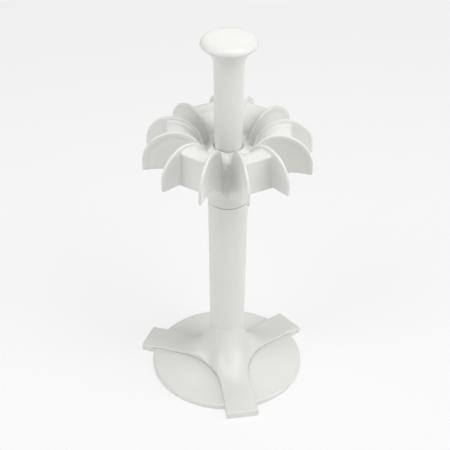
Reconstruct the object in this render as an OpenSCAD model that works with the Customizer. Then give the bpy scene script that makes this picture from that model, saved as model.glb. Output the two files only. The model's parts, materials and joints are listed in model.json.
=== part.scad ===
// Pipette carousel stand.
// A weighted round base carries a three-legged foot and a column. A crown of six
// saddle hangers spins on a fixed spindle between the column and the handle.

/* [Base plate] */
// Radius of the round plate
disc_r = 68; // [60:1:80]
// Height of the plate's rim above the ground
disc_h = 5.7; // [5.4:0.1:8]
// Rise of the plate's top from its rim to its middle
disc_dome = 0.9; // [0.2:0.1:2]
// Radius of the rounding on the rim's top edge
disc_edge_r = 1.6; // [0.5:0.1:2.2]
// Thickness of the plate's rim wall
disc_wall = 2.6; // [1.5:0.1:5]
// Thickness of the skin over the ballast, at the rim
disc_skin = 1.9; // [1.5:0.1:2.5]
// Height of the plate's rim off the ground, carried by the pads
ground_gap = 0.4; // [0.3:0.1:1]
// Thickness of the sheet that closes the underside
cover_t = 1; // [0.6:0.1:1.4]

/* [Three-legged foot] */
// Distance from the axis to each leg's end face
leg_reach = 79; // [74:1:95]
// Width of a leg at its end
leg_end_w = 28.6; // [20:0.2:36]
// Width of a leg at its waist
leg_waist_w = 25.8; // [18:0.2:32]
// Height of a leg at its end
leg_end_h = 6.6; // [6:0.1:9]
// Height of a leg where the flare starts
leg_root_h = 9; // [8:0.1:13]
// Distance from the axis to the middle of the curve between two legs
crotch_r = 23.5; // [20:0.5:30]
// Height of the joint between the foot and the column
boss_top = 48.6; // [35:0.2:70]
// Thickness of the foot's moulded wall
foot_wall = 3; // [2:0.1:4]
// Radius of each rubber pad
pad_r = 4.5; // [3:0.5:5]
// Depth of the recess that holds a pad
pad_depth = 1.5; // [0.8:0.1:2.5]
// Radius of the rubber pad under the middle of the plate
centre_pad_r = 12; // [8:0.5:20]

/* [Column] */
// Outer radius at the foot
column_r_low = 15.3; // [14:0.1:20]
// Outer radius under the crown
column_r_top = 17; // [15.5:0.1:21]
// Height of the joint between the column and the crown
column_top = 178.3; // [140:0.1:220]
// Wall of the column tube
column_wall = 2.4; // [1.6:0.1:3.5]

/* [Crown hub] */
// Outer radius of the hub's sleeve
hub_r = 17.5; // [16.5:0.1:22]
// Height of the straight sleeve under the flare
sleeve_h = 9.2; // [6:0.1:14]
// Height from the joint with the column to the hangers' seat
hub_h = 47.7; // [44:0.1:60]
// Distance from the axis to the wall behind each pipette
back_wall = 51; // [48:0.5:56]
// Radius of the arms' concave underside
cove_r = 52; // [46:0.5:60]
// Depth of the arms at their outer end
arm_depth = 11.4; // [9:0.1:14]
// Distance from the axis to the lip of the gutter between two hangers
lip_r = 24.5; // [22:0.5:27]
// Radius of the gutter's rounded floor
gutter_r = 3.9; // [3.7:0.1:5]
// Height of the gutter's floor above the seat, beside the handle
gutter_rise = 4; // [2:0.1:6]
// Depth of the gutter's floor below the seat, at its lip
gutter_drop = 4.5; // [3:0.1:6]
// Thickness of the lip over the vault
lip_t = 2.2; // [1.6:0.1:3]
// Radius of the vault under the gutter, at its foot
vault_r_low = 2.9; // [2.6:0.1:3.5]
// Radius of the vault at its crown
vault_r_top = 5.2; // [4.8:0.1:6]

/* [Hangers] */
// Number of hangers
hanger_n = 6; // [6:1:6]
// Turn of the crown on its spindle, first hanger from the front
crown_turn = 17.1; // [0:0.1:59.9]
// Half width over a hanger's cheeks at the middle of their arch
cheek_half = 13.8; // [13:0.1:15]
// Angle at which each cheek spreads outward
splay = 12.3; // [10:0.1:14]
// Thickness of a cheek at its rim
rim_t = 2.6; // [2.5:0.1:3.2]
// Thickness of a cheek inside its rim
cheek_t = 2.1; // [1.6:0.1:2.4]
// Width of the rim
rim_w = 4.5; // [2.5:0.1:6]
// Radius of a cheek's arched top
arch_r = 24.6; // [23:0.1:27]
// Distance from the axis to the middle of the arch
arch_u = 45; // [43:0.1:46]
// Depth of the arch's middle below the seat
arch_drop = 1.8; // [0.5:0.1:4]
// Radius of the saddle's arch
saddle_r = 17.7; // [16:0.1:19]
// Distance from the axis to the middle of the saddle's arch
saddle_u = 44.2; // [43:0.1:46]
// Height of the saddle's middle above the seat
saddle_z = 1.1; // [0.5:0.1:3]
// Thickness of the saddle
saddle_t = 2.4; // [1.6:0.1:3]
// Drop of a cheek's tip below the seat
tip_drop = 10.6; // [8:0.1:14]

/* [Handle] */
// Radius of the handle where it enters the crown
handle_r_low = 11.4; // [10.5:0.1:13]
// Radius of the handle under the knob
handle_r_top = 12.55; // [11.5:0.05:15]
// Height of the handle's straight part above the crown's seat
handle_h = 74; // [60:1:110]
// Wall of the handle tube
handle_wall = 2.2; // [1.6:0.1:3]
// Radius of the knob at its widest
knob_r = 23.85; // [21:0.05:28]
// Height of the knob, from the end of the straight handle
knob_h = 28; // [25:0.5:36]
// Rise of the knob's slightly domed top
knob_dome = 1.4; // [0.5:0.1:3]

/* [Spindle and fasteners] */
// Radius of the tie rod
rod_r = 3; // [2.5:0.1:4]
// Outer radius of the spindle tube
spindle_r = 7.5; // [6.5:0.1:8]
// Wall of the spindle tube
spindle_wall = 1.5; // [1:0.1:2]
// Radial thickness of a bush
bush_t = 2; // [1.2:0.1:2.5]
// Length of a bush
bush_l = 12; // [8:0.5:14]
// Thickness of the thrust washers
thrust_t = 1.2; // [0.8:0.1:2]
// Radial clearance of the spindle in its bushes
run_clear = 0.05; // [0.02:0.01:0.09]
// Width of a tie-rod nut across its flats
nut_flats = 10; // [9:0.5:13]
// Height of a tie-rod nut
nut_h = 4; // [3:0.1:4.4]
// Thickness of the flat washers
washer_t = 1; // [0.8:0.1:1.4]
// Radius of a base screw's shank
screw_r = 1.5; // [1:0.1:2]
// Distance from the axis to a base screw
screw_pitch_r = 42; // [38:1:48]

/* [Hidden] */

white = [0.93, 0.93, 0.92];
steel = [0.70, 0.71, 0.73];
iron = [0.35, 0.36, 0.38];
acetal = [0.90, 0.88, 0.80];
rubber = [0.15, 0.15, 0.16];

fine = 128;
medium = 64;
eps = 0.01;
// Sliding clearance between pieces that are pushed together by hand
slip = 0.1;
// Visible gap between the crown and what stands still beside it
part_line = 0.4;
leg_n = 3;

// Base
cover_z = ground_gap;
ballast_z = cover_z + cover_t;
skin_z = disc_h - disc_skin;
disc_mid_z = disc_h + disc_dome;
well_r = nut_flats / 2 / cos(30) + 2.2;
well_top = leg_root_h - 1;
screw_head_r = 2 * screw_r;
screw_head_h = 1.5;
screw_top = leg_root_h - 0.5;

pad_pitch_r = leg_reach - pad_r - 1.2;
centre_pad_h = ground_gap + 0.5;

// Foot: the curve between two legs is a circle that runs just past both legs' waists
mid_angle = 180 / leg_n;
waist = leg_waist_w / 2;
crotch_c = (crotch_r - waist) / (1 - sin(mid_angle));
crotch_cut_r = crotch_c - crotch_r + 0.06;
flare_r = boss_top - leg_root_h;

// Column
spigot_h = 12;
spigot_r = column_r_low - column_wall - slip;
column_end = column_top - part_line;
head_h = 14;
head_r = column_r_top - column_wall - slip;
thrust_r = spindle_r + 5;
thrust_seat = column_end - thrust_t + part_line;
spindle_foot = thrust_seat - 5;

// Crown
hang_half = 180 / hanger_n;
seat = column_top + hub_h;
bush_r = spindle_r + run_clear + bush_t;
bush_bore = bush_r + 0.02;
hub_foot = thrust_seat + thrust_t;
flare_z = column_top + sleeve_h;
arm_z = seat - arm_depth;
cove_z = arm_z - cove_r;
cove_u = hub_r + sqrt(pow(cove_r, 2) - pow(flare_z - cove_z, 2));
web_t = 3;
collar_in = handle_r_low + 0.8;
collar_z = seat + gutter_rise + 1.2;
collar_foot = 20;

// Outer face of a hanger's cheek: half width at a distance u from the axis
function cheek_v(u) = cheek_half + (u - arch_u) * tan(splay);
// Face inside its rim, which the hub's arms carry on downward
function panel_v(u) = cheek_v(u) - (rim_t - cheek_t) / cos(splay);
lip_u = (lip_r - sin(hang_half) * panel_v(0)) / (cos(hang_half) + sin(hang_half) * tan(splay));
gutter_slope = atan((gutter_rise + gutter_drop) / (lip_r - collar_in));
// The vault runs down from the lip to the sleeve
vault_foot_z = flare_z - 2;
vault_foot_u = hub_r + 0.2 + vault_r_low;
vault_top_z = seat - gutter_drop - lip_t - vault_r_top + 0.6;
vault_top_u = lip_r - 2 + vault_r_top;
vault_tilt = atan((vault_top_u - vault_foot_u) / (vault_top_z - vault_foot_z));
vault_h = norm([vault_top_u - vault_foot_u, vault_top_z - vault_foot_z]);
pocket_r = 28.5;

// Hangers
arch_mid = seat - arch_drop;
arch_top = arch_mid + arch_r;
front_u = arch_u + arch_r;

// Handle
handle_foot = seat + web_t + thrust_t;
handle_end = seat + handle_h;
knob_top = handle_end + knob_h;
neck_r = 10;
neck_z = handle_end + 2.6;
knob_slope = 40;
rim_r = 6;
rim_c = knob_r - 6.55;
rim_z = handle_end + 19.4;
edge_r = 4;
edge_z = knob_top - knob_dome - edge_r;
cap_z = handle_end + 13.4;
cap_plug_h = 4;
cap_wall = 2.4;
nut_well_r = nut_flats / 2 / cos(30) + 2;
plug_h = 12;
bulkhead_z = handle_end - 8;
bulkhead_t = 3;
spindle_top = handle_foot + 6;

echo(overall_height = knob_top, seat = seat);

module at_azimuth(a) {
    rotate([0, 0, a - 90]) children();
}

module tube(r_out, r_in, z0, z1, fn = medium) {
    translate([0, 0, z0]) difference() {
        cylinder(r = r_out, h = z1 - z0, $fn = fn);
        translate([0, 0, -1]) cylinder(r = r_in, h = z1 - z0 + 2, $fn = fn);
    }
}

// An arc of points about a centre, from angle a to angle b
function arc(c, r, a, b, n = 12) = [for (i = [0:n]) c + r * [cos(a + (b - a) * i / n), sin(a + (b - a) * i / n)]];

// ---------- base ----------

module disc_outline(grow = 0) {
    r = disc_r + grow;
    polygon(concat(
        [[0, ground_gap - grow], [r, ground_gap - grow]],
        arc([r - disc_edge_r, disc_h - disc_edge_r], disc_edge_r, 0, 88, 8),
        [[0, disc_mid_z]]));
}

module base_disc() {
    color(white) difference() {
        rotate_extrude($fn = fine) difference() {
            disc_outline();
            translate([0, -1]) square([disc_r - disc_wall, skin_z + 1]);
        }
        translate([0, 0, -1]) cylinder(r = well_r + 1, h = disc_mid_z + 3, $fn = medium);
        for (i = [0:leg_n - 1])
            at_azimuth(360 / leg_n * i) translate([screw_pitch_r, 0, -1])
                cylinder(r = screw_r + slip, h = disc_mid_z + 3, $fn = 32);
    }
}

module star_outline() {
    for (i = [0:leg_n - 1])
        rotate(360 / leg_n * i - 90) polygon([
            [-1, -waist], [crotch_c / 2, -waist], [leg_reach, -leg_end_w / 2],
            [leg_reach, leg_end_w / 2], [crotch_c / 2, waist], [-1, waist]]);
    difference() {
        polygon([for (i = [0:leg_n - 1], s = [-1, 1])
            let (a = 360 / leg_n * i - 90)
            crotch_c / 2 * [cos(a), sin(a)] + s * waist * [-sin(a), cos(a)]]);
        for (i = [0:leg_n - 1])
            rotate(360 / leg_n * i - 90 + mid_angle) translate([crotch_c, 0])
                circle(r = crotch_cut_r, $fn = 256);
    }
}

module star_profile() {
    polygon(concat(
        [[0, 0], [leg_reach + 5, 0], [leg_reach + 5, leg_end_h]],
        arc([column_r_low + flare_r, boss_top], flare_r, 270, 180, 24),
        [[0, boss_top]]));
}

module leg_star() {
    color(white) difference() {
        union() {
            intersection() {
                linear_extrude(boss_top) star_outline();
                rotate_extrude($fn = fine) star_profile();
            }
            translate([0, 0, boss_top - 1]) cylinder(r = spigot_r, h = spigot_h + 1, $fn = medium);
        }
        rotate_extrude($fn = fine) disc_outline(slip);
        translate([0, 0, -1]) cylinder(r = well_r, h = well_top + 1, $fn = medium);
        cylinder(r = rod_r + slip, h = boss_top + spigot_h + 1, $fn = medium);
        tube(spigot_r - foot_wall, rod_r + foot_wall, well_top + 4, boss_top + spigot_h + 1);
        for (i = [0:leg_n - 1])
            at_azimuth(360 / leg_n * i) {
                translate([screw_pitch_r, 0, 0])
                    cylinder(r = screw_r + 0.02, h = screw_top, $fn = 32);
                translate([pad_pitch_r, 0, -1])
                    cylinder(r = pad_r + slip, h = pad_depth + 1, $fn = 48);
            }
        translate([0, 0, -1]) linear_extrude(1 + ground_gap) square(4 * leg_reach, center = true);
    }
}

module ballast_plate() {
    color(iron) difference() {
        translate([0, 0, ballast_z])
            cylinder(r = disc_r - disc_wall - 1, h = skin_z - ballast_z, $fn = fine);
        translate([0, 0, -1]) cylinder(r = well_r + 3, h = disc_h + 2, $fn = medium);
        for (i = [0:leg_n - 1])
            at_azimuth(360 / leg_n * i) translate([screw_pitch_r, 0, -1])
                cylinder(r = screw_head_r + 0.5, h = disc_h + 2, $fn = 32);
    }
}

module bottom_cover() {
    color(white) difference() {
        translate([0, 0, cover_z]) cylinder(r = disc_r - disc_wall - slip, h = cover_t, $fn = fine);
        translate([0, 0, -1]) cylinder(r = centre_pad_r + slip, h = centre_pad_h + 1, $fn = medium);
    }
}

module foot_pads() {
    color(rubber) {
        for (i = [0:leg_n - 1])
            at_azimuth(360 / leg_n * i) translate([pad_pitch_r, 0, 0])
                cylinder(r = pad_r, h = pad_depth, $fn = 48);
        cylinder(r = centre_pad_r, h = centre_pad_h, $fn = medium);
    }
}

module base_screws() {
    color(steel) for (i = [0:leg_n - 1])
        at_azimuth(360 / leg_n * i) translate([screw_pitch_r, 0, 0]) {
            translate([0, 0, skin_z - screw_head_h])
                cylinder(r = screw_head_r, h = screw_head_h, $fn = 32);
            translate([0, 0, skin_z - 0.5])
                cylinder(r = screw_r, h = screw_top - skin_z - 0.5, $fn = 32);
        }
}

// ---------- tie rod and its nuts ----------

module washer(z) {
    color(steel) tube(nut_flats / 2 / cos(30) + 1, rod_r + 0.2, z, z + washer_t);
}

module nut(z) {
    color(steel) translate([0, 0, z]) difference() {
        cylinder(r = nut_flats / 2 / cos(30), h = nut_h, $fn = 6);
        translate([0, 0, -1]) cylinder(r = rod_r + 0.02, h = nut_h + 2, $fn = medium);
    }
}

module base_washer() {
    washer(well_top - washer_t);
}

module base_nut() {
    nut(well_top - washer_t - nut_h);
}

module tie_rod() {
    z0 = well_top - washer_t - nut_h - 0.8;
    color(steel) translate([0, 0, z0])
        cylinder(r = rod_r, h = bulkhead_z + bulkhead_t + washer_t + nut_h + 1.5 - z0, $fn = medium);
}

module top_washer() {
    washer(bulkhead_z + bulkhead_t);
}

module top_nut() {
    nut(bulkhead_z + bulkhead_t + washer_t);
}

// ---------- column ----------

module column_tube() {
    color(white) translate([0, 0, boss_top]) difference() {
        cylinder(r1 = column_r_low, r2 = column_r_top, h = column_end - boss_top, $fn = fine);
        translate([0, 0, -eps]) cylinder(r1 = column_r_low - column_wall,
            r2 = column_r_top - column_wall, h = column_end - boss_top + 2 * eps, $fn = fine);
    }
}

module column_head() {
    color(white) difference() {
        translate([0, 0, column_end - head_h])
            cylinder(r1 = head_r - 0.5, r2 = head_r, h = head_h, $fn = medium);
        translate([0, 0, thrust_seat]) cylinder(r = thrust_r + slip, h = thrust_t + 1, $fn = medium);
        translate([0, 0, spindle_foot]) cylinder(r = spindle_r + 0.02, h = 10, $fn = medium);
        translate([0, 0, column_end - head_h - 1]) cylinder(r = rod_r + slip, h = head_h + 2, $fn = medium);
    }
}

module lower_thrust_washer() {
    color(acetal) tube(thrust_r, spindle_r + 0.3, thrust_seat, thrust_seat + thrust_t);
}

module spindle_tube() {
    color(steel) tube(spindle_r, spindle_r - spindle_wall, spindle_foot, spindle_top);
}

module lower_bush() {
    color(acetal) tube(bush_r, spindle_r + run_clear, hub_foot, hub_foot + bush_l);
}

module upper_bush() {
    color(acetal) tube(bush_r, spindle_r + run_clear, seat - bush_l, seat);
}

// ---------- crown hub ----------

// Plan of a hanger between its cheeks' outer faces, drawn in by inset
module hanger_plan(u0, u1, inset = 0) {
    t = inset / cos(splay);
    polygon([[u0, t - cheek_v(u0)], [u1, t - cheek_v(u1)], [u1, cheek_v(u1) - t], [u0, cheek_v(u0) - t]]);
}

function turned(a, p) = [p[0] * cos(a) - p[1] * sin(a), p[0] * sin(a) + p[1] * cos(a)];

// Plan of the hub: an arm under each hanger, and a short wall across each gap
module hub_plan() {
    polygon([for (i = [0:hanger_n - 1]) let (a = crown_turn + 360 / hanger_n * i - 90)
        each [turned(a, [lip_u, -panel_v(lip_u)]), turned(a, [back_wall, -panel_v(back_wall)]),
            turned(a, [back_wall, panel_v(back_wall)]), turned(a, [lip_u, panel_v(lip_u)])]]);
}

module each_hanger() {
    for (i = [0:hanger_n - 1])
        at_azimuth(crown_turn + 360 / hanger_n * i) children();
}

module each_gap() {
    for (i = [0:hanger_n - 1])
        at_azimuth(crown_turn + hang_half + 360 / hanger_n * i) children();
}

// Half section of the sleeve and the arms' concave underside
module hub_profile() {
    reach = back_wall + 5;
    start = 180 - asin((flare_z - cove_z) / cove_r);
    end = acos((reach - cove_u) / cove_r);
    polygon(concat([[0, column_top], [hub_r, column_top]],
        arc([cove_u, cove_z], cove_r, start, end, 40), [[reach, seat], [0, seat]]));
}

// The arms are cored from above, under the saddles
module hub_pockets() {
    intersection() {
        translate([0, 0, column_top]) linear_extrude(hub_h + 1)
            each_hanger() hanger_plan(pocket_r, back_wall - rim_t, rim_t);
        rotate_extrude($fn = fine) difference() {
            translate([pocket_r, column_top]) square([back_wall, hub_h + 1]);
            translate([cove_u, cove_z]) circle(r = cove_r + rim_t, $fn = 2 * fine);
        }
    }
}

module gutters() {
    each_gap() translate([lip_r, 0, seat - gutter_drop + gutter_r]) rotate([0, gutter_slope - 90, 0])
        translate([0, 0, -10]) cylinder(r = gutter_r, h = 40, $fn = medium);
}

module vaults() {
    each_gap() translate([vault_foot_u, 0, vault_foot_z]) rotate([0, vault_tilt, 0])
        rotate_extrude($fn = medium) polygon(concat(
            [[0, 0], [vault_r_low, 0]], arc([0, vault_h], vault_r_top, 0, 90, 10)));
}

module crown_hub() {
    color(white) difference() {
        union() {
            intersection() {
                translate([0, 0, column_top]) linear_extrude(hub_h) hub_plan();
                rotate_extrude($fn = fine) hub_profile();
            }
            rotate_extrude($fn = fine) polygon([
                [spindle_r + 0.6, seat - 1], [collar_foot, seat - 1], [collar_foot, seat],
                [collar_in + 1, collar_z], [collar_in, collar_z], [collar_in, seat + web_t],
                [spindle_r + 0.6, seat + web_t]]);
        }
        gutters();
        vaults();
        hub_pockets();
        translate([0, 0, hub_foot - 1]) cylinder(r = bush_bore, h = bush_l + 1, $fn = medium);
        translate([0, 0, seat - bush_l]) cylinder(r = bush_bore, h = bush_l, $fn = medium);
        translate([0, 0, hub_foot - 1]) cylinder(r = spindle_r + 0.6, h = hub_h, $fn = medium);
    }
}

// ---------- hangers ----------

// Side view of a cheek: arched top, straight front edge, lower edge that runs back to the arm.
// With an inset it's the face inside the rim, which stays open below and toward the arm.
module cheek_outline(inset = 0) {
    front = front_u - inset;
    below = inset > 0 ? 1 : 0;
    translate([arch_u, arch_mid]) intersection() {
        circle(r = arch_r - inset, $fn = fine);
        translate([-arch_r, arch_drop - below]) square([2 * arch_r, arch_r + 1]);
    }
    translate([arch_u, arch_mid]) intersection() {
        circle(r = arch_r - inset, $fn = fine);
        translate([back_wall - below - arch_u, 0]) square([arch_r, arch_r]);
    }
    polygon([
        [back_wall - below, seat + 1], [back_wall - below, arm_z - below],
        [front, seat - tip_drop - below], [front, arch_mid]]);
}

// Side view of the saddle: an arch over the hook gap that ends in the wall behind the pipette
module saddle_outline() {
    difference() {
        intersection() {
            translate([saddle_u, seat + saddle_z]) circle(r = saddle_r, $fn = fine);
            translate([0, seat]) square([back_wall, arch_r]);
        }
        intersection() {
            translate([saddle_u, seat + saddle_z]) circle(r = saddle_r - saddle_t, $fn = fine);
            translate([0, seat - 1]) square([back_wall - saddle_t, arch_r]);
        }
    }
}

module side_extrude() {
    rotate([90, 0, 0]) linear_extrude(4 * cheek_half, center = true) children();
}

module hanger(index) {
    low = seat - tip_drop - 2;
    tall = arch_top - low + 1;
    color(white) at_azimuth(crown_turn + 360 / hanger_n * (index - 1)) {
        difference() {
            intersection() {
                translate([0, 0, low]) linear_extrude(tall) difference() {
                    hanger_plan(0, front_u + 1);
                    hanger_plan(-1, front_u + 2, rim_t);
                }
                side_extrude() cheek_outline();
            }
            difference() {
                side_extrude() cheek_outline(rim_w);
                translate([0, 0, low]) linear_extrude(tall) hanger_plan(0, front_u + 1, rim_t - cheek_t);
            }
        }
        intersection() {
            translate([0, 0, seat - 1]) linear_extrude(tall) hanger_plan(0, front_u, rim_t - eps);
            side_extrude() saddle_outline();
        }
    }
}

module hanger_1() {
    hanger(1);
}

module hanger_2() {
    hanger(2);
}

module hanger_3() {
    hanger(3);
}

module hanger_4() {
    hanger(4);
}

module hanger_5() {
    hanger(5);
}

module hanger_6() {
    hanger(6);
}

// ---------- handle ----------

module upper_thrust_washer() {
    color(acetal) tube(collar_in - 0.5, spindle_r + 0.3, seat + web_t, seat + web_t + thrust_t);
}

module handle_plug() {
    color(white) difference() {
        translate([0, 0, handle_foot])
            cylinder(r = handle_r_low - handle_wall - slip, h = plug_h, $fn = medium);
        translate([0, 0, handle_foot - 1])
            cylinder(r = spindle_r + 0.02, h = spindle_top - handle_foot + 1, $fn = medium);
        translate([0, 0, handle_foot]) cylinder(r = rod_r + slip, h = plug_h + 1, $fn = medium);
    }
}

// Half section of the handle and knob. A concave neck and a convex rim meet in a straight slope.
module knob_profile() {
    polygon(concat(
        [[0, handle_foot], [handle_r_low, handle_foot]],
        arc([handle_r_top + neck_r, neck_z], neck_r, 180, 90 + knob_slope, 16),
        arc([rim_c, rim_z], rim_r, knob_slope - 90, -6, 16),
        arc([knob_r - edge_r, edge_z], edge_r, 0, 85, 16),
        [[0, knob_top]]));
}

module handle_tube() {
    color(white) rotate_extrude($fn = fine) difference() {
        intersection() {
            knob_profile();
            square([knob_r + 1, cap_z]);
        }
        polygon([
            [-1, handle_foot - 1], [handle_r_low - handle_wall, handle_foot - 1],
            [handle_r_top - handle_wall, bulkhead_z], [-1, bulkhead_z]]);
        translate([-1, bulkhead_z - 1]) square([rod_r + slip + 1, bulkhead_t + 2]);
        polygon([
            [-1, bulkhead_z + bulkhead_t], [nut_well_r, bulkhead_z + bulkhead_t],
            [nut_well_r, cap_z + 1], [-1, cap_z + 1]]);
    }
}

module knob_cap() {
    color(white) rotate_extrude($fn = fine) difference() {
        union() {
            intersection() {
                knob_profile();
                translate([0, cap_z]) square([knob_r + 1, knob_h]);
            }
            translate([0, cap_z - cap_plug_h]) square([nut_well_r - slip, cap_plug_h + 1]);
        }
        translate([-1, cap_z - cap_plug_h - 1])
            square([nut_well_r - slip - cap_wall + 1, cap_plug_h + knob_top - cap_z - cap_wall - 1]);
    }
}

base_disc();
leg_star();
ballast_plate();
bottom_cover();
foot_pads();
base_screws();
base_washer();
base_nut();
tie_rod();
column_tube();
column_head();
lower_thrust_washer();
spindle_tube();
lower_bush();
upper_bush();
crown_hub();
hanger_1();
hanger_2();
hanger_3();
hanger_4();
hanger_5();
hanger_6();
upper_thrust_washer();
handle_plug();
handle_tube();
top_washer();
top_nut();
knob_cap();
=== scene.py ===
# %% [markdown]
# # Pipette carousel stand
# A bench stand moulded in white plastic. Pipettes hang by their finger hooks in six saddles,
# and the crown of saddles turns so that each one comes to the front.
# The sizes come from the CAD frame. This lesson adds what moulding and daylight do to them.

# %% setup
import json
import math

import bmesh
import bpy
import numpy as np
from mathutils import Matrix, Vector


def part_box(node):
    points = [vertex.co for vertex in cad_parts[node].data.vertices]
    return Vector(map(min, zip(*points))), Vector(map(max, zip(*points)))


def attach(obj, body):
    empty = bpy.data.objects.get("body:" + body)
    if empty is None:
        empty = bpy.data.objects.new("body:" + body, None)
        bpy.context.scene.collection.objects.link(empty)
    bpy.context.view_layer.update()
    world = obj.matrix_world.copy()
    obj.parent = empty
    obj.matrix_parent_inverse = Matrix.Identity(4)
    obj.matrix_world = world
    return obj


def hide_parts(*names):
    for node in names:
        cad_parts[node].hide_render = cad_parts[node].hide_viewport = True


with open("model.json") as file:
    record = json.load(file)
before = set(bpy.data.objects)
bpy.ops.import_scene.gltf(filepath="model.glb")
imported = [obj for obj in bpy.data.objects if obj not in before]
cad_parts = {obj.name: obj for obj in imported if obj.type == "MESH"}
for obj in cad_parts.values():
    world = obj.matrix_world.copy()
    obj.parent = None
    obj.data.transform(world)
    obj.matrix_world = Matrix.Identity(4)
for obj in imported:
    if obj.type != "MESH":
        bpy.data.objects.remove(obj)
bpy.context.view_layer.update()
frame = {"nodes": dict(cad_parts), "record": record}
scene = bpy.context.scene

# %% [markdown]
# ## Camera
# The camera stands back with a long lens and looks down at about 34 degrees.
# The distances were solved from the round base, the knob and the tips of the cheeks.

# %% camera
MM = 0.001
UNIT = 68 * MM             # radius of the base plate
CAM_BACK = 12.977 * UNIT   # from the axis
CAM_UP = 11.0607 * UNIT    # above the ground
CAM_PITCH = 0.598          # downwards
CAM_YAW = -0.0027
CAM_ROLL = 0.0062
CAM_TURN = math.radians(-10.5)   # the front leg points a little to the camera's right
LENS = 99.59               # on a 36 mm sensor


def look_matrix():
    """Camera matrix from yaw, pitch and roll, then turned about the stand's axis."""
    forward = Vector((math.sin(CAM_YAW) * math.cos(CAM_PITCH),
                      math.cos(CAM_YAW) * math.cos(CAM_PITCH), -math.sin(CAM_PITCH)))
    right = forward.cross(Vector((0, 0, 1))).normalized()
    up = right.cross(forward)
    right2 = math.cos(CAM_ROLL) * right + math.sin(CAM_ROLL) * up
    up2 = -math.sin(CAM_ROLL) * right + math.cos(CAM_ROLL) * up
    m = Matrix((right2, up2, -forward)).transposed().to_4x4()
    m.translation = Vector((0, -CAM_BACK, CAM_UP))
    return Matrix.Rotation(CAM_TURN, 4, "Z") @ m


cam = bpy.data.objects.new("camera", bpy.data.cameras.new("camera"))
scene.collection.objects.link(cam)
cam.data.lens, cam.data.sensor_width = LENS, 36
cam.data.clip_start, cam.data.clip_end = 0.05, 20
cam.matrix_world = look_matrix()
scene.camera = cam
print("camera at", [round(v, 3) for v in cam.matrix_world.translation])

# %% [markdown]
# ## Finishes
# Everything that shows is the same white plastic, so its small unevenness has to carry the
# surface: a satin coat, faint flow mottling in the colour and a very low spark-eroded grain.

# %% materials


CLOUD_SCALE = 35           # size of the mottling
GRAIN_SCALE = 1500         # size of the spark-eroded grain
GRAIN_DEPTH = 0.05 * MM
ROUGH_DRIFT = 0.04


def material(name, color, rough, metallic=0.0, mottle=0.02, grain=0.0):
    """A Principled material whose colour and roughness drift a little over the object."""
    mat = bpy.data.materials.new(name)
    mat.use_nodes = True
    nt = mat.node_tree
    bsdf = nt.nodes["Principled BSDF"]
    bsdf.inputs["Metallic"].default_value = metallic
    coords = nt.nodes.new("ShaderNodeTexCoord")
    cloud = nt.nodes.new("ShaderNodeTexNoise")
    cloud.inputs["Scale"].default_value = CLOUD_SCALE
    cloud.inputs["Detail"].default_value = 3
    nt.links.new(coords.outputs["Object"], cloud.inputs["Vector"])
    ramp = nt.nodes.new("ShaderNodeMix")
    ramp.data_type = "RGBA"
    second = [c * (1 - 2 * mottle) for c in color]
    ramp.inputs["A"].default_value = (*color, 1)
    ramp.inputs["B"].default_value = (*second, 1)
    nt.links.new(cloud.outputs["Fac"], ramp.inputs["Factor"])
    nt.links.new(ramp.outputs["Result"], bsdf.inputs["Base Color"])
    span = nt.nodes.new("ShaderNodeMapRange")
    span.inputs["To Min"].default_value = rough - ROUGH_DRIFT
    span.inputs["To Max"].default_value = rough + ROUGH_DRIFT
    nt.links.new(cloud.outputs["Fac"], span.inputs["Value"])
    nt.links.new(span.outputs["Result"], bsdf.inputs["Roughness"])
    if grain:
        fine = nt.nodes.new("ShaderNodeTexNoise")
        fine.inputs["Scale"].default_value = GRAIN_SCALE
        nt.links.new(coords.outputs["Object"], fine.inputs["Vector"])
        bump = nt.nodes.new("ShaderNodeBump")
        bump.inputs["Strength"].default_value = grain
        bump.inputs["Distance"].default_value = GRAIN_DEPTH
        nt.links.new(fine.outputs["Fac"], bump.inputs["Height"])
        nt.links.new(bump.outputs["Normal"], bsdf.inputs["Normal"])
    return mat


FINISHES = {
    "white_moulding": material("white_moulding", (0.80, 0.80, 0.77), 0.32, grain=0.15),
    "cover_sheet": material("cover_sheet", (0.7, 0.7, 0.69), 0.6),
    "ballast_iron": material("ballast_iron", (0.14, 0.14, 0.145), 0.7, metallic=0.6, mottle=0.1,
                             grain=0.6),
    "pad_rubber": material("pad_rubber", (0.03, 0.03, 0.032), 0.8, mottle=0.1, grain=0.4),
    "plated_steel": material("plated_steel", (0.62, 0.63, 0.66), 0.3, metallic=1, grain=0.1),
    "spindle_steel": material("spindle_steel", (0.6, 0.61, 0.62), 0.2, metallic=1),
    "bearing_acetal": material("bearing_acetal", (0.78, 0.76, 0.68), 0.45),
}
for part in frame["record"]["subparts"]:
    mesh = frame["nodes"][part["node"]].data
    mesh.materials.clear()
    mesh.materials.append(FINISHES[part["material_slot"]])
print("materials:", sorted(FINISHES))

# %% [markdown]
# ## Soft mouldings
# Plastic fills a mould badly at a knife edge, so every real edge is a small round and every inner
# corner a fillet. Bevelling loose CAD triangles is fragile. A voxel remesh followed by a few
# smoothing passes rounds them all at once, and a decimation then thins out the flat faces.

# %% soft moulding helper


def cad_copy(name, nodes):
    """One new object that holds merged copies of the nodes' meshes."""
    bm = bmesh.new()
    for node in nodes:
        bm.from_mesh(frame["nodes"][node].data)
    bmesh.ops.remove_doubles(bm, verts=bm.verts, dist=0.002 * MM)
    mesh = bpy.data.meshes.new(name)
    bm.to_mesh(mesh)
    bm.free()
    obj = bpy.data.objects.new(name, mesh)
    scene.collection.objects.link(obj)
    return obj


def bake_modifiers(obj):
    """Turn the live modifiers into a plain mesh."""
    depsgraph = bpy.context.evaluated_depsgraph_get()
    mesh = bpy.data.meshes.new_from_object(obj.evaluated_get(depsgraph))
    obj.modifiers.clear()
    obj.data = mesh
    return obj


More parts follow.
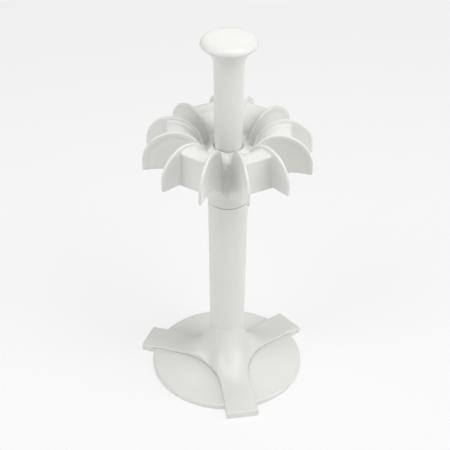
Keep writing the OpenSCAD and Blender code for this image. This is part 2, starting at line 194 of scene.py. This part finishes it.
def soften(obj, voxel, passes, keep=1.0):
    """Round every edge by about the voxel's size, then keep this share of the triangles."""
    grid = obj.modifiers.new("grid", "REMESH")
    grid.mode, grid.voxel_size = "VOXEL", voxel
    if passes:
        round_off = obj.modifiers.new("round", "SMOOTH")
        round_off.factor, round_off.iterations = 0.5, passes
    if keep < 1:
        thin = obj.modifiers.new("thin", "DECIMATE")
        thin.ratio = keep
    bake_modifiers(obj)
    obj.data.shade_smooth()
    return obj


def fill_corners(obj, radius, voxel, passes, where):
    """Grow inner corners outwards until they are about this round, at the points that where picks.

    On an even mesh the mean of a point's neighbours stands off it by step² / (4 × radius) in a
    hollow. Points that stand off more are lifted, and no point is ever pulled inwards.
    """
    mesh = obj.data
    count = len(mesh.vertices)
    co = np.empty(count * 3)
    mesh.vertices.foreach_get("co", co)
    co = co.reshape(-1, 3)
    pairs = np.empty(len(mesh.edges) * 2, dtype=np.int64)
    mesh.edges.foreach_get("vertices", pairs)
    a, b = pairs.reshape(-1, 2).T
    degree = np.bincount(a, minlength=count) + np.bincount(b, minlength=count)
    free = where(co)
    limit = voxel ** 2 / (4 * radius)
    normals = np.empty(count * 3)
    for _ in range(passes):
        mesh.vertices.foreach_set("co", co.ravel())
        mesh.update()
        mesh.vertex_normals.foreach_get("vector", normals)
        out = normals.reshape(-1, 3)
        mean = np.stack([np.bincount(a, co[b, k], count) + np.bincount(b, co[a, k], count)
                         for k in range(3)], axis=1) / degree[:, None]
        hollow = ((mean - co) * out).sum(axis=1)
        lift = np.where(free & (hollow > limit), 0.5 * hollow, 0)
        co += lift[:, None] * out
    mesh.vertices.foreach_set("co", co.ravel())
    mesh.update()


def stay_inside(obj, nodes):
    """Hold every vertex within the box of the CAD nodes that the piece stands for."""
    boxes = [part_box(n) for n in nodes]
    low = [min(b[0][k] for b in boxes) for k in range(3)]
    high = [max(b[1][k] for b in boxes) for k in range(3)]
    for v in obj.data.vertices:
        v.co = [min(max(v.co[k], low[k]), high[k]) for k in range(3)]


def dress(obj, nodes, body):
    """Keep the piece in its nodes' box, paint it white and let it stand for them on the body."""
    stay_inside(obj, nodes)
    obj.data.materials.clear()
    obj.data.materials.append(FINISHES["white_moulding"])
    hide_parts(*nodes)
    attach(obj, body)
    print(obj.name, "faces:", len(obj.data.polygons))


# %% [markdown]
# ## Crown
# The hub, the six saddles and their splayed cheeks come out of the tool as if they were one skin:
# the webs run into the cheeks with fillets, and the cheeks end in a rounded rim.
# One saddle is modelled, and a node tree sets copies of it round the hub in equal steps.
# The remesh then welds hub and saddles, so no seam is left between them. It also fills the six
# pockets that the saddles close, so this piece is solid where the CAD hub is hollow.

# %% ring of saddles


def ring_tree(name):
    """A node tree that joins copies of one object, in equal steps about Z, to the mesh it gets."""
    tree = bpy.data.node_groups.new(name, "GeometryNodeTree")
    face = tree.interface
    face.new_socket("Hub", in_out="INPUT", socket_type="NodeSocketGeometry")
    face.new_socket("Saddle", in_out="INPUT", socket_type="NodeSocketObject")
    face.new_socket("Count", in_out="INPUT", socket_type="NodeSocketInt")
    face.new_socket("Material", in_out="INPUT", socket_type="NodeSocketMaterial")
    face.new_socket("Crown", in_out="OUTPUT", socket_type="NodeSocketGeometry")
    new = tree.nodes.new
    link = tree.links.new
    given, result = new("NodeGroupInput"), new("NodeGroupOutput")
    points, copies = new("GeometryNodePoints"), new("GeometryNodeInstanceOnPoints")
    saddle = new("GeometryNodeObjectInfo")
    step, turn = new("ShaderNodeMath"), new("ShaderNodeMath")
    step.operation, turn.operation = "DIVIDE", "MULTIPLY"
    step.inputs[0].default_value = math.tau
    index, about_z = new("GeometryNodeInputIndex"), new("ShaderNodeCombineXYZ")
    join, real = new("GeometryNodeJoinGeometry"), new("GeometryNodeRealizeInstances")
    paint = new("GeometryNodeSetMaterial")
    link(given.outputs["Count"], points.inputs["Count"])
    link(given.outputs["Count"], step.inputs[1])
    link(step.outputs[0], turn.inputs[0])
    link(index.outputs[0], turn.inputs[1])
    link(turn.outputs[0], about_z.inputs["Z"])
    link(given.outputs["Saddle"], saddle.inputs["Object"])
    link(points.outputs[0], copies.inputs["Points"])
    link(saddle.outputs["Geometry"], copies.inputs["Instance"])
    link(about_z.outputs[0], copies.inputs["Rotation"])
    link(copies.outputs[0], join.inputs[0])
    link(given.outputs["Hub"], join.inputs[0])
    link(join.outputs[0], real.inputs[0])
    link(real.outputs[0], paint.inputs["Geometry"])
    link(given.outputs["Material"], paint.inputs["Material"])
    link(paint.outputs[0], result.inputs["Crown"])
    return tree


def run_tree(obj, tree, **values):
    """Put the tree on the object, set its inputs and turn the result into a plain mesh."""
    mod = obj.modifiers.new(tree.name, "NODES")
    mod.node_group = tree
    for item in tree.interface.items_tree:
        if item.in_out == "INPUT" and item.name in values:
            mod[item.identifier] = values[item.name]
    return bake_modifiers(obj)


# %% crown
SADDLES = 6
CROWN_VOXEL = 0.6 * MM
CORNER_RADIUS = 3 * MM
CORNER_PASSES = 60
HUB_RADIUS = 19 * MM       # inside this the bushes and washers need their true corners


def outside_of_hub(co):
    """Picks the points that lie outside the hub's working parts."""
    return np.hypot(co[:, 0], co[:, 1]) > HUB_RADIUS


CROWN_NODES = ["crown_hub"] + [f"hanger_{i}" for i in range(1, SADDLES + 1)]
crown = cad_copy("crown_moulding", ["crown_hub"])
run_tree(crown, ring_tree("saddle_ring"), Saddle=frame["nodes"]["hanger_1"], Count=SADDLES,
         Material=FINISHES["white_moulding"])
print("hub and saddles:", len(crown.data.polygons), "faces")
soften(crown, CROWN_VOXEL, 5)
fill_corners(crown, CORNER_RADIUS, CROWN_VOXEL, CORNER_PASSES, outside_of_hub)
soften(crown, CROWN_VOXEL, 3, keep=0.46)
dress(crown, CROWN_NODES, "crown")

# %% [markdown]
# ## Handle and knob
# One hand lifts the whole stand here. The knob is a thin mushroom: its underside sweeps out of
# the slim neck in one hollow curve, so two fingers can hook under it. A lathe turns the profile,
# and the spline through a few chosen stations gives the curve without flats.
# The cap is a piece of its own that plugs into the well over the top nut.

# %% handle
HANDLE_STEPS = 192
CREASE = math.radians(35)  # steps sharper than this stay crisp
# Height and radius of each station, from the foot up to the knob's crown.
HANDLE_STATIONS = [(230.2, 11.4), (232, 11.55), (262, 11.75), (292, 12.15), (303, 12.4), (308, 12.9),
                   (312, 14.2), (315.6, 16.6), (318.4, 19.6), (320.6, 22.2), (322.2, 23.1),
                   (324, 22.9), (325.8, 21.8), (327, 19.9), (327.6, 17.6), (328, 13.5)]
CAP_SEAM = 313.4           # height at which the cap sits on the handle
BULKHEAD = (292, 295)      # the floor that the top nut pulls on
ROD_HOLE = 3.1
NUT_WELL = 7.77
BORE_LOW, BORE_TOP = 9.2, 10.35
PLUG_RADIUS, PLUG_LENGTH = 7.67, 4     # the cap's plug in the nut well
CAP_BORE, CAP_CEILING = 5.27, 323.6


def spline(points, steps):
    """Points on a Catmull-Rom curve through the given ones."""
    ends = [points[0], *points, points[-1]]
    curve = []
    for a, b, c, d in zip(ends, ends[1:], ends[2:], ends[3:]):
        for i in range(steps):
            t = i / steps
            curve.append([0.5 * (2 * q + (r - p) * t + (2 * p - 5 * q + 4 * r - s) * t ** 2
                                 + (3 * q - p - 3 * r + s) * t ** 3)
                          for p, q, r, s in zip(a, b, c, d)])
    curve.append(list(points[-1]))
    return curve


def lathe(name, profile, steps, closed_ring=False):
    """A closed solid of revolution from (height, radius) pairs in metres.

    A closed ring's last pair joins its first. Any other profile starts and ends on the axis.
    """
    bm = bmesh.new()
    turns = [math.tau * i / steps for i in range(steps)]
    rings = []
    for z, r in profile:
        if r == 0:
            rings.append([bm.verts.new((0, 0, z))] * steps)
        else:
            rings.append([bm.verts.new((r * math.cos(t), r * math.sin(t), z)) for t in turns])
    following = rings[1:] + rings[:1] if closed_ring else rings[1:]
    for low, high in zip(rings, following):
        for i in range(steps):
            j = (i + 1) % steps
            corners = dict.fromkeys((low[i], low[j], high[j], high[i]))
            bm.faces.new(corners)
    bmesh.ops.recalc_face_normals(bm, faces=bm.faces)
    mesh = bpy.data.meshes.new(name)
    bm.to_mesh(mesh)
    bm.free()
    mesh.shade_smooth()
    mesh.set_sharp_from_angle(angle=CREASE)
    obj = bpy.data.objects.new(name, mesh)
    scene.collection.objects.link(obj)
    return obj


def in_metres(profile):
    """Pairs in millimetres turned into metres."""
    return [(z * MM, r * MM) for z, r in profile]


outline = spline(HANDLE_STATIONS, 5)
seam_above = next(i for i, (z, r) in enumerate(outline) if z > CAP_SEAM)
(z_low, r_low), (z_high, r_high) = outline[seam_above - 1], outline[seam_above]
seam_radius = r_low + (r_high - r_low) * (CAP_SEAM - z_low) / (z_high - z_low)
handle_ring = outline[:seam_above] + [
    (CAP_SEAM, seam_radius), (CAP_SEAM, NUT_WELL), (BULKHEAD[1], NUT_WELL), (BULKHEAD[1], ROD_HOLE),
    (BULKHEAD[0], ROD_HOLE), (BULKHEAD[0], BORE_TOP), (HANDLE_STATIONS[0][0], BORE_LOW)]
cap_profile = [
    (CAP_CEILING, 0), (CAP_CEILING, CAP_BORE), (CAP_SEAM - PLUG_LENGTH, CAP_BORE),
    (CAP_SEAM - PLUG_LENGTH, PLUG_RADIUS), (CAP_SEAM, PLUG_RADIUS), (CAP_SEAM, seam_radius),
    *outline[seam_above:], (HANDLE_STATIONS[-1][0], 0)]
handle = lathe("handle_moulding", in_metres(handle_ring), HANDLE_STEPS, closed_ring=True)
knob = lathe("knob_moulding", in_metres(cap_profile), HANDLE_STEPS)
dress(handle, ["handle_tube"], "stand")
dress(knob, ["knob_cap"], "stand")

# %% [markdown]
# ## Foot
# The column runs down into three flat legs. Between the legs the skin drops in a tight hollow,
# and along each leg it runs out in a long one, so a soft ridge stands on every leg.
# The height of that skin is one rule of distance and direction: a quarter ellipse whose reach
# swings between the two. The CAD foot is remeshed, pressed down to the rule and remeshed again.

# %% foot
FOOT_TOP = 48.6 * MM          # joint with the column
FOOT_NECK = 15.3 * MM         # radius there
FOOT_PLATE = 8.3 * MM         # height of the flat skin near the neck
REACH_LEG, REACH_HOLLOW = 50 * MM, 25.5 * MM
FOOT_VOXEL = 0.75 * MM


def foot_skin(x, y):
    """Height of the foot's skin over a point."""
    r = math.hypot(x, y)
    off = (math.degrees(math.atan2(x, -y)) + 60) % 120 - 60      # from the nearest leg
    lean = 0.5 + 0.5 * math.cos(math.radians(3 * off))
    reach = REACH_HOLLOW + (REACH_LEG - REACH_HOLLOW) * lean
    t = min(max((reach - r) / (reach - FOOT_NECK), 0), 1)
    return FOOT_PLATE + (FOOT_TOP - FOOT_PLATE) * (1 - math.sqrt(1 - t * t))


foot = soften(cad_copy("foot_moulding", ["leg_star"]), FOOT_VOXEL, 0)
for v in foot.data.vertices:
    v.co.z = min(v.co.z, foot_skin(v.co.x, v.co.y))
soften(foot, FOOT_VOXEL, 5, keep=0.6)
dress(foot, ["leg_star"], "stand")

# %% [markdown]
# ## Base disc
# The disc under the legs is a moulding too. Its rim is rolled over, which catches a thin light.

# %% base
DISC_VOXEL = 0.7 * MM
disc = soften(cad_copy("base_moulding", ["base_disc"]), DISC_VOXEL, 6, keep=0.35)
dress(disc, ["base_disc"], "stand")

# %% [markdown]
# ## Studio
# White on white is drawn by its shades. Two soft boxes stand high in front, the right one
# stronger, two wide ones light the flanks, and one stands behind. The middle of each tube is
# left a little darker than its sides, which is what makes it look round. A small box hangs low
# overhead, so the knob and the saddles are a step brighter than the foot below them.

# %% studio


def area_light(name, place, size, power):
    """A square soft box that faces the stand. Its place is given as the camera sees it."""
    data = bpy.data.lights.new(name, "AREA")
    data.size, data.energy = size, power
    lamp = bpy.data.objects.new(name, data)
    scene.collection.objects.link(lamp)
    lamp.location = Matrix.Rotation(CAM_TURN, 4, "Z") @ Vector(place)
    lamp.rotation_euler = (Vector(AIM) - lamp.location).to_track_quat("-Z", "Y").to_euler()
    return lamp


AIM = (0, 0, 0.15)
lights = [
    area_light("key", (1.0, -0.9, 1.9), 1.0, 13),
    area_light("second", (-1.0, -0.9, 1.9), 1.0, 11),
    area_light("flank_right", (2.0, -0.6, 0.7), 1.2, 17),
    area_light("flank_left", (-1.7, -0.9, 0.7), 1.2, 12),
    area_light("behind", (0, 2.0, 1.6), 1.4, 6),
    area_light("overhead", (0.15, -0.05, 1.05), 0.5, 2.4),
]
print("lights:", [(o.name, o.data.energy) for o in lights])

# %% [markdown]
# ## Sweep
# The pale sweep is a matt plane. To the camera and to reflections part of it glows a plain white,
# so the background stays pale while the stand still drops its shadow there. The room beyond the
# sweep's edge is seen as the same white, but lights the stand only faintly.

# %% sweep
FLOOR_GLOW = 0.7
ROOM_GLOW = 1.0
ROOM_LIGHT = 0.1


def camera_white(tree, base, surface, glow_type, amount):
    """Mix a plain white into what camera, glossy and transmission rays see of base."""
    path = tree.nodes.new("ShaderNodeLightPath")
    seen = tree.nodes.new("ShaderNodeMath")
    seen.operation = "MAXIMUM"
    tree.links.new(path.outputs["Is Camera Ray"], seen.inputs[0])
    tree.links.new(path.outputs["Is Glossy Ray"], seen.inputs[1])
    also = tree.nodes.new("ShaderNodeMath")
    also.operation = "MAXIMUM"
    tree.links.new(seen.outputs[0], also.inputs[0])
    tree.links.new(path.outputs["Is Transmission Ray"], also.inputs[1])
    share = tree.nodes.new("ShaderNodeMath")
    share.operation = "MULTIPLY"
    share.inputs[1].default_value = amount
    tree.links.new(also.outputs[0], share.inputs[0])
    glow = tree.nodes.new(glow_type)
    glow.inputs["Color"].default_value = (1, 1, 1, 1)
    mix = tree.nodes.new("ShaderNodeMixShader")
    tree.links.new(share.outputs[0], mix.inputs[0])
    tree.links.new(base, mix.inputs[1])
    tree.links.new(glow.outputs[0], mix.inputs[2])
    tree.links.new(mix.outputs[0], surface)


bpy.ops.mesh.primitive_plane_add(size=12)
floor = bpy.context.object
floor.name = "floor"
floor_mat = bpy.data.materials.new("floor")
floor_mat.use_nodes = True
floor_tree = floor_mat.node_tree
floor_bsdf = floor_tree.nodes["Principled BSDF"]
floor_bsdf.inputs["Base Color"].default_value = (0.93, 0.93, 0.93, 1)
floor_bsdf.inputs["Roughness"].default_value = 0.9
floor_bsdf.inputs["Specular IOR Level"].default_value = 0.1
camera_white(floor_tree, floor_bsdf.outputs[0], floor_tree.nodes["Material Output"].inputs["Surface"],
             "ShaderNodeEmission", FLOOR_GLOW)
floor.data.materials.append(floor_mat)
world = bpy.data.worlds.new("studio")
world.use_nodes = True
scene.world = world
room = world.node_tree.nodes["Background"]
room.inputs["Color"].default_value = (1, 1, 1, 1)
room.inputs["Strength"].default_value = ROOM_LIGHT
camera_white(world.node_tree, room.outputs[0], world.node_tree.nodes["World Output"].inputs["Surface"],
             "ShaderNodeBackground", ROOM_GLOW)
scene.view_settings.view_transform = "Standard"
print("floor and world are set")
